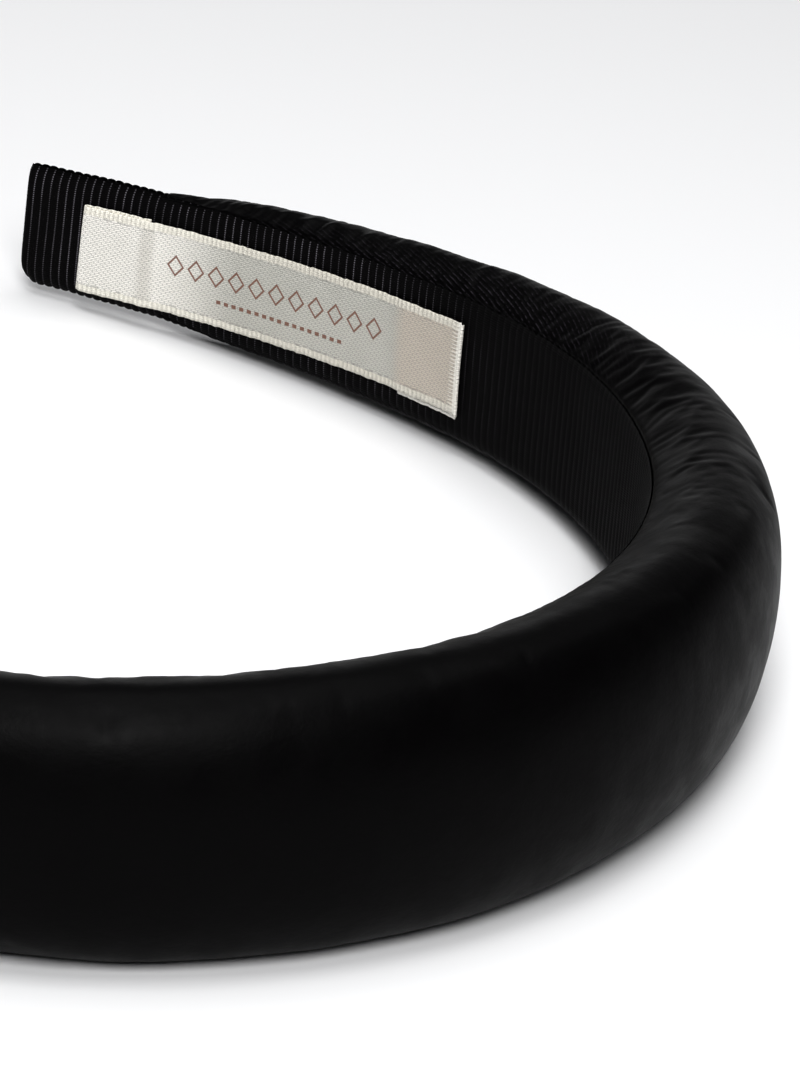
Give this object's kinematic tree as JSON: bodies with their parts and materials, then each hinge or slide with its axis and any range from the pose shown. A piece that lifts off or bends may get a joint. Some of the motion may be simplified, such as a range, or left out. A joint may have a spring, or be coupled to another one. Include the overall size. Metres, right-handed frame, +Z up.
{
  "type": "padded headband",
  "caption": "Padded open hair band with a satin cover tapering to ribbon-wrapped tips, a ribbed ribbon lining and a woven label on one arm, springing open at the crown.",
  "frame": {"origin": "on the surface that the band lies on, below the middle of its box", "axes": "+Z up from the surface with the band lying on its long edge, +Y from the open tips towards the crown, +X away from the arm that carries the label"},
  "size_m": [0.1526, 0.1638, 0.0296],
  "materials": {
    "satin": "black satin with a soft sheen, cut on the bias",
    "grosgrain": "black grosgrain ribbon, cross ribs about 1 mm apart",
    "label": "ivory woven satin tape with plain selvedges",
    "core": "moulded springy plastic, black",
    "foam": "open-cell polyurethane foam"
  },
  "bodies": {
    "labelled_half": {"lining_ribbon_left": "grosgrain", "core_band_left": "core", "foam_pad_left": "foam", "satin_cover_left": "satin", "woven_label": "label"},
    "plain_half": {"lining_ribbon_right": "grosgrain", "core_band_right": "core", "foam_pad_right": "foam", "satin_cover_right": "satin"}
  },
  "joints": [
    {"name": "crown_flex", "type": "hinge", "parent": "labelled_half", "child": "plain_half", "pos_m": [0, 0.0677, 0.0148], "axis": [0, -0.0314, 0.9995], "range_deg": [-4, 12], "stiffness_Nm_per_rad": 1}
  ]
}
